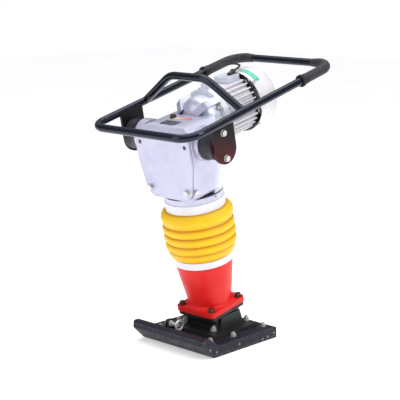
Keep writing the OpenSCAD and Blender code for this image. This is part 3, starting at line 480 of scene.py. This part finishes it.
def surface(name, colour, rough, metal=0.0, other=None, patch=14.0, grain=700.0, depth=0.00012,
            rough_span=0.12, edge=0.0008, wear=None, wear_amount=0.5, dirt_and_shade=None, dirt_and_shade_reach=0.008,
            coat=0.0, coat_rough=0.08, sheen=0.0, specular=0.5, stretch=None, spots=None):
    """The common finish. other is the mottling's second colour; spots is (colour, scale, threshold); the corner
    colour darkens corners, creases and gaps between parts as painted shade, broken into blotches like grime.
    """
    f = Finish(name)
    s = f.shader.inputs
    tone = f.remap(f.noise(patch, 5.0, 0.6, stretch), 0.3, 0.7)
    result = f.mix(tone, shade(colour, 0.9), other or shade(colour, 1.1))
    fine = f.noise(grain, 3.0, 0.6)
    result = f.mix(f.remap(fine, 0.35, 0.75, 0.0, 0.25), result, shade(colour, 0.72))
    normal, edge_mask = f.edges(edge)
    roughness = f.remap(f.noise(patch * 3.1, 4.0), 0.25, 0.75,
                        max(0.04, rough - rough_span), min(1.0, rough + rough_span))
    if spots:
        cell = f.remap(f.noise(spots[1], 6.0, 0.7, distort=0.4), spots[2], spots[2] + 0.06)
        result = f.mix(f.math("MULTIPLY", cell, 0.8), result, spots[0])
        roughness = f.math("ADD", roughness, f.math("MULTIPLY", cell, 0.12))
    # painted shade: the corner colour darkens corners, creases and gaps between parts, in grimy blotches
    if dirt_and_shade:
        blotch = f.remap(f.noise(patch * 2.3, 6.0, 0.7), 0.25, 0.6, 0.25, 0.85)
        low = f.math("MULTIPLY", f.corners(dirt_and_shade_reach), blotch)
        result = f.mix(low, result, dirt_and_shade)
        roughness = f.math("ADD", roughness, f.math("MULTIPLY", low, 0.2))
    if wear:
        rub = f.remap(f.noise(grain * 0.25, 5.0, 0.75), 0.62 - 0.3 * wear_amount, 0.72 - 0.2 * wear_amount)
        rub = f.math("MULTIPLY", edge_mask, rub)
        result = f.mix(rub, result, wear)
        f.put(s["Metallic"], f.math("MAXIMUM", f.math("MULTIPLY", rub, 0.8), metal))
    else:
        s["Metallic"].default_value = metal
    f.t.links.new(result, s["Base Color"])
    f.t.links.new(roughness, s["Roughness"])
    f.t.links.new(f.bump(fine, 0.5, depth, normal), s["Normal"])
    s["Coat Weight"].default_value = coat
    s["Coat Roughness"].default_value = coat_rough
    s["Sheen Weight"].default_value = sheen
    s["Specular IOR Level"].default_value = specular
    return f


LOOKS = {
    # the motor's corner colour is painted shade in the gaps between its fins
    "motor": surface("motor_enamel", rgb(232, 232, 238), 0.34, metal=0.1, other=rgb(242, 239, 244), patch=11,
                     grain=600, depth=0.00012, edge=0.0009, dirt_and_shade=rgb(92, 86, 92), dirt_and_shade_reach=0.009, coat=0.2),
    "tube": surface("tube_gloss_paint", rgb(4, 6, 20), 0.2, other=rgb(11, 15, 38), patch=20, grain=1500,
                    depth=0.00002, edge=0.0005, coat=0.12, coat_rough=0.12, rough_span=0.05, specular=0.42,
                    spots=(rgb(30, 32, 46), 240, 0.72)),
    "bracket": surface("bracket_black_paint", rgb(18, 19, 23), 0.48, other=rgb(29, 30, 35), patch=14, grain=700,
                       depth=0.00018, edge=0.0012, coat=0.15, wear=rgb(110, 110, 114), wear_amount=0.35,
                       dirt_and_shade=rgb(58, 56, 54), dirt_and_shade_reach=0.02),
    "red": surface("cylinder_red_enamel", rgb(240, 26, 26), 0.4, other=rgb(250, 42, 38), patch=7, grain=420,
                   depth=0.0002, edge=0.0016, specular=0.35, wear=rgb(150, 30, 28), wear_amount=0.2,
                   dirt_and_shade=rgb(120, 12, 16), dirt_and_shade_reach=0.01),
    "zinc": surface("bright_zinc", rgb(220, 218, 218), 0.24, metal=0.65, other=rgb(244, 240, 236), patch=90,
                    grain=1800, depth=0.00005, edge=0.0006, dirt_and_shade=rgb(74, 68, 66), dirt_and_shade_reach=0.004),
    "bronze_bolt": surface("brown_phosphate", rgb(74, 62, 50), 0.45, metal=0.6, other=rgb(104, 84, 60),
                           patch=80, grain=1500, depth=0.00006, edge=0.0007, wear=rgb(160, 140, 116),
                           wear_amount=0.5),
    "steel": surface("machined_steel", rgb(176, 178, 182), 0.28, metal=1.0, other=rgb(204, 204, 206), patch=30,
                     grain=900, depth=0.00003, edge=0.0004, stretch=(1, 1, 14)),
    "gear": surface("gear_steel", rgb(140, 140, 146), 0.3, metal=1.0, other=rgb(168, 166, 168), patch=40,
                    grain=1100, depth=0.00003, edge=0.0004, dirt_and_shade=rgb(60, 52, 40)),
    "spring": surface("spring_steel", rgb(90, 96, 104), 0.34, metal=0.8, other=rgb(120, 124, 130), patch=60,
                      grain=900, depth=0.00005),
    "bronze": surface("bearing_bronze", rgb(186, 140, 78), 0.34, metal=1.0, other=rgb(206, 164, 96), patch=50,
                      grain=900, depth=0.00003),
    "copper": surface("copper_windings", rgb(176, 96, 56), 0.36, metal=0.9, other=rgb(206, 124, 74), patch=60,
                      grain=700, depth=0.0002, stretch=(1, 1, 9)),
    "lamination": surface("core_laminations", rgb(120, 122, 130), 0.5, metal=0.8, other=rgb(150, 150, 156),
                          patch=30, grain=900, depth=0.0002, stretch=(1, 22, 1)),
    "band": surface("white_strap", rgb(238, 240, 246), 0.36, other=rgb(250, 250, 252), patch=12, grain=700,
                    depth=0.00006, edge=0.0006, coat=0.2, dirt_and_shade=rgb(168, 166, 172), dirt_and_shade_reach=0.005),
    "plastic": surface("black_plastic", rgb(20, 20, 23), 0.42, other=rgb(30, 30, 34), patch=20, grain=1200,
                       depth=0.00006, edge=0.0008),
    "rubber": surface("drum_rubber", rgb(16, 16, 25), 0.5, other=rgb(27, 27, 38), patch=16, grain=900,
                      depth=0.00012, edge=0.0012, sheen=0.05),
    "cable": surface("cable_jacket", rgb(22, 22, 26), 0.48, other=rgb(34, 34, 38), patch=60, grain=1600,
                     depth=0.00006),
    # the paler mottling and the light spots on the grips are painted highlight on the knurled rubber
    "grip": surface("grip_rubber", rgb(22, 21, 27), 0.6, other=rgb(56, 54, 60), patch=170, grain=1100,
                    depth=0.0003, sheen=0.1, specular=0.35, spots=(rgb(132, 128, 126), 320, 0.6)),
    "plate": surface("label_plate", rgb(58, 66, 74), 0.3, metal=0.3, other=rgb(120, 126, 134), patch=70,
                     grain=900, depth=0.00004, edge=0.0004, wear=rgb(220, 220, 224), wear_amount=0.6),
    "teal": surface("cowl_film", rgb(64, 196, 168), 0.4, other=rgb(120, 218, 198), patch=90, grain=900,
                    depth=0.00002, coat=0.1),
}


def tint(f, amount, colour):
    """Lays another colour over what the surface has so far."""
    base = f.shader.inputs["Base Color"]
    f.put(base, f.mix(amount, base.links[0].from_socket, colour))


def casting_finish():
    """Cast aluminium: its bluish tone on the front is a painted reflection of bluish light, and a whiter,
    plainer silver is painted over the bell and the parts behind it as painted light.
    """
    f = surface("cast_aluminium", rgb(200, 202, 228), 0.38, metal=0.5, other=rgb(216, 213, 233), patch=9,
                grain=520, depth=0.00025, edge=0.0016, dirt_and_shade=rgb(92, 88, 100), dirt_and_shade_reach=0.009,
                wear=rgb(250, 250, 252), wear_amount=0.3)
    # painted light: a lighter, whiter colour over everything behind the front face
    tint(f, f.remap(f.place("Y"), -0.085, -0.055, 0.0, 0.75), rgb(236, 243, 250))
    return f


def ear_finish():
    """Black paint, worn to a dark red primer low down on the right-hand plate."""
    f = surface("ear_plate_paint", rgb(9, 9, 12), 0.4, other=rgb(20, 14, 16), patch=12, grain=900,
                depth=0.00008, edge=0.0008, specular=0.3, wear=rgb(96, 84, 82), wear_amount=0.25)
    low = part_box("mount_outer_plates")[0][2]
    bare = f.math("MULTIPLY", f.remap(f.place("Z"), low + 0.075, low), f.remap(f.place("X"), 0.0, 0.05))
    tint(f, f.math("MULTIPLY", bare, f.remap(f.noise(22, 5.0, 0.6), 0.25, 0.6, 0.3, 1.0)), rgb(92, 8, 12))
    return f


def cover_bolt_finish():
    """Zinc on the two low bolts and a dark phosphate on the two sunk screws above them."""
    f = Finish("cover_bolt_plating")
    s = f.shader.inputs
    high = f.remap(f.place("Z"), 0.55, 0.57)
    mottle = f.remap(f.noise(120, 4.0), 0.3, 0.7)
    colour = f.mix(high, f.mix(mottle, rgb(206, 204, 204), rgb(240, 236, 232)),
                   f.mix(mottle, rgb(60, 58, 62), rgb(96, 92, 94)))
    f.t.links.new(colour, s["Base Color"])
    f.t.links.new(f.remap(f.noise(300, 3.0), 0.3, 0.7, 0.2, 0.4), s["Roughness"])
    s["Metallic"].default_value = 0.65
    normal = f.edges(0.0006)[0]
    f.t.links.new(f.bump(f.noise(1500, 3.0), 0.4, 0.00005, normal), s["Normal"])
    return f


def bellows_finish():
    """Moulded yellow rubber, with painted shade, a deeper orange, down in its grooves."""
    f = Finish("bellows_yellow")
    s = f.shader.inputs
    tone = f.remap(f.noise(6, 4.0), 0.3, 0.7)
    colour = f.mix(tone, rgb(253, 198, 18), rgb(255, 214, 30))
    groove_shade = f.node("ShaderNodeAttribute", attribute_name="groove").outputs["Fac"]
    # painted shade: darker orange down in each groove between the folds
    colour = f.mix(f.remap(groove_shade, 0.0, 1.0), colour, rgb(216, 142, 6))
    scuff = f.remap(f.noise(70, 7.0, 0.7), 0.62, 0.8, 0.0, 0.3)
    colour = f.mix(scuff, colour, rgb(246, 190, 40))
    f.t.links.new(colour, s["Base Color"])
    f.t.links.new(f.remap(f.noise(30, 4.0), 0.3, 0.7, 0.38, 0.56), s["Roughness"])
    f.t.links.new(f.bump(f.noise(900, 3.0), 0.35, 0.0002), s["Normal"])
    s["Specular IOR Level"].default_value = 0.4
    s["Subsurface Weight"].default_value = 0.08
    s["Subsurface Radius"].default_value = (0.012, 0.006, 0.002)
    s["Subsurface Scale"].default_value = 0.3
    return f


def case_label_finish():
    """Plain two-tone film: orange red, fading to cream at its left end."""
    f = Finish("case_film")
    s = f.shader.inputs
    along = f.math("ADD", f.place("X"), f.math("MULTIPLY", f.noise(60, 3.0), 0.02))
    colour = f.mix(f.remap(along, 0.0, 0.028), rgb(240, 222, 196), rgb(240, 128, 96))
    f.t.links.new(colour, s["Base Color"])
    f.t.links.new(f.remap(f.noise(90, 3.0), 0.3, 0.7, 0.25, 0.45), s["Roughness"])
    f.t.links.new(f.bump(f.noise(700, 3.0), 0.2, 0.00005), s["Normal"])
    return f


LOOKS["eye"] = surface("eye_plating", rgb(228, 228, 232), 0.3, metal=0.3, other=rgb(244, 244, 246), patch=120,
                       grain=1500, depth=0.00005, edge=0.0006, dirt_and_shade=rgb(90, 88, 92), dirt_and_shade_reach=0.003)
LOOKS["nail"] = surface("nail_heads", rgb(112, 110, 112), 0.45, metal=0.6, other=rgb(150, 148, 148), patch=200,
                        grain=1500, depth=0.00006, edge=0.0006)
LOOKS["tube"].shader.inputs["Specular Tint"].default_value = (0.78, 0.84, 1.0, 1.0)
LOOKS["casting"] = casting_finish()
LOOKS["ear"] = ear_finish()
LOOKS["cover_bolt"] = cover_bolt_finish()
# blackened steel and board, scuffed grey along the edges, with pale dust and specks, and painted shade in its
# corners
LOOKS["sole"] = surface("shoe_black", rgb(14, 15, 28), 0.5, other=rgb(31, 33, 50), patch=16, grain=420,
                        depth=0.0004, edge=0.0016, wear=rgb(150, 150, 154), wear_amount=0.75,
                        dirt_and_shade=rgb(72, 66, 62), dirt_and_shade_reach=0.02, spots=(rgb(104, 98, 98), 190, 0.6),
                        stretch=(1, 0.35, 1), specular=0.3)
LOOKS["bellows"] = bellows_finish()
LOOKS["case_label"] = case_label_finish()

NODE_LOOKS = {
    "casting": ["guide_cylinder", "crankcase", "front_cover", "motor_front_shield", "terminal_box",
                "terminal_lid", "cylinder_cap"],
    "motor": ["motor_frame", "fan_cowl"],
    "tube": ["handle_loop", "handle_arch"],
    "ear": ["handle_brackets", "mount_outer_plates", "mount_inner_plates"],
    "bracket": ["foot_bracket"],
    "red": ["spring_cylinder"],
    "sole": ["shoe_board", "sole_plate"],
    "zinc": ["board_bolts", "bracket_nuts", "guide_bolts", "motor_nuts", "cowl_screws",
             "drain_plug", "handle_bolts"],
    "eye": ["transport_eye"],
    "nail": ["side_nails"],
    "cover_bolt": ["cover_bolts"],
    "bronze_bolt": ["flange_bolts", "filler_plug"],
    "steel": ["cylinder_sleeve", "crank_shaft", "motor_shaft", "piston_rod", "spring_piston", "wrist_pin",
              "connecting_rod", "crank_pin", "ball_bearings"],
    "gear": ["crank_gear", "drive_pinion"],
    "bronze": ["rod_bush"],
    "copper": ["stator_windings"],
    "lamination": ["stator_core", "rotor_core"],
    "band": ["lower_band", "upper_band"],
    "plastic": ["motor_rear_shield", "cable_gland", "cooling_fan", "shaft_seal"],
    "rubber": ["shock_mounts", "gaskets", "cable_boot"],
    "plate": ["data_plate"],
}


def paint(obj, look):
    obj.data.materials.clear()
    obj.data.materials.append(LOOKS[look].m)


for look, names in NODE_LOOKS.items():
    for name in names:
        paint(NODES[name], look)
for obj, look in ((cable, "cable"), (sleeve, "bellows"), (cowl_label, "teal"), (case_label, "case_label"),
                  (springs[0], "spring"), (springs[1], "spring")):
    paint(obj, look)
for obj in grips:
    paint(obj, "grip")

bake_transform(sleeve)
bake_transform(springs[0])
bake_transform(springs[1])
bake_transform(cable)


# ---- floor, air and light ----

FLOOR_HALF = 9.0
bm = bmesh.new()
bmesh.ops.create_grid(bm, x_segments=8, y_segments=8, size=FLOOR_HALF)
floor = add_object("floor", bm)
ground = Finish("floor_pale")
pale = ground.mix(ground.remap(ground.noise(1.5, 3.0), 0.3, 0.7), rgb(247, 247, 248), rgb(252, 252, 252))
ground.t.links.new(pale, ground.shader.inputs["Base Color"])
ground.shader.inputs["Roughness"].default_value = 0.7
ground.shader.inputs["Emission Color"].default_value = (1.0, 1.0, 1.0, 1.0)
ground.shader.inputs["Emission Strength"].default_value = 0.4
floor.data.materials.append(ground.m)
floor.location.z = -0.2 * MM

# the camera sees plain white, and the object is lit by air that brightens upwards
world = bpy.data.worlds.new("air")
world.use_nodes = True
air = world.node_tree
sky = air.nodes["Background"]
coords = air.nodes.new("ShaderNodeTexCoord")
split = air.nodes.new("ShaderNodeSeparateXYZ")
ramp = air.nodes.new("ShaderNodeMapRange")
lit = air.nodes.new("ShaderNodeBackground")
pick = air.nodes.new("ShaderNodeMixShader")
ray = air.nodes.new("ShaderNodeLightPath")
for key, value in (("From Min", -0.1), ("From Max", 0.9), ("To Min", 0.06), ("To Max", 0.5)):
    ramp.inputs[key].default_value = value
air.links.new(coords.outputs["Generated"], split.inputs[0])
air.links.new(split.outputs["Z"], ramp.inputs["Value"])
air.links.new(ramp.outputs["Result"], lit.inputs["Strength"])
lit.inputs["Color"].default_value = (0.96, 0.97, 1.0, 1.0)
sky.inputs["Color"].default_value = (1.0, 1.0, 1.0, 1.0)
air.links.new(ray.outputs["Is Camera Ray"], pick.inputs[0])
air.links.new(lit.outputs[0], pick.inputs[1])
air.links.new(sky.outputs[0], pick.inputs[2])
air.links.new(pick.outputs[0], air.nodes["World Output"].inputs["Surface"])
bpy.context.scene.world = world


def soft_light(name, place, aim, size, power, colour=(1, 1, 1)):
    data = bpy.data.lights.new(name, "AREA")
    data.shape = "RECTANGLE"
    data.size, data.size_y = size
    data.energy = power
    data.color = colour
    lamp = bpy.data.objects.new(name, data)
    lamp.location = place
    lamp.rotation_euler = (Vector(aim) - Vector(place)).to_track_quat("-Z", "Y").to_euler()
    bpy.context.scene.collection.objects.link(lamp)


MIDDLE = (0, 0.05, 0.45)
soft_light("key", Vector(MIDDLE) + right * 2.2 + back * 1.3 + Vector((0, 0, 1.6)), MIDDLE, (1.3, 1.6), 37)
soft_light("fill", Vector(MIDDLE) - right * 2.4 + back * 1.2 + Vector((0, 0, 0.9)), MIDDLE, (1.4, 2.0), 20,
           (0.93, 0.94, 1.0))
soft_light("top", Vector(MIDDLE) + back * -0.6 + Vector((0, 0, 2.6)), MIDDLE, (2.4, 2.0), 30)
sun_data = bpy.data.lights.new("sun", "SUN")
sun_data.energy = 0.85
sun_data.angle = math.radians(60)
sun = bpy.data.objects.new("sun", sun_data)
sun.rotation_euler = (math.radians(12), math.radians(14), 0)
bpy.context.scene.collection.objects.link(sun)

settings = bpy.context.scene.view_settings
settings.view_transform = "Standard"
settings.look = "None"
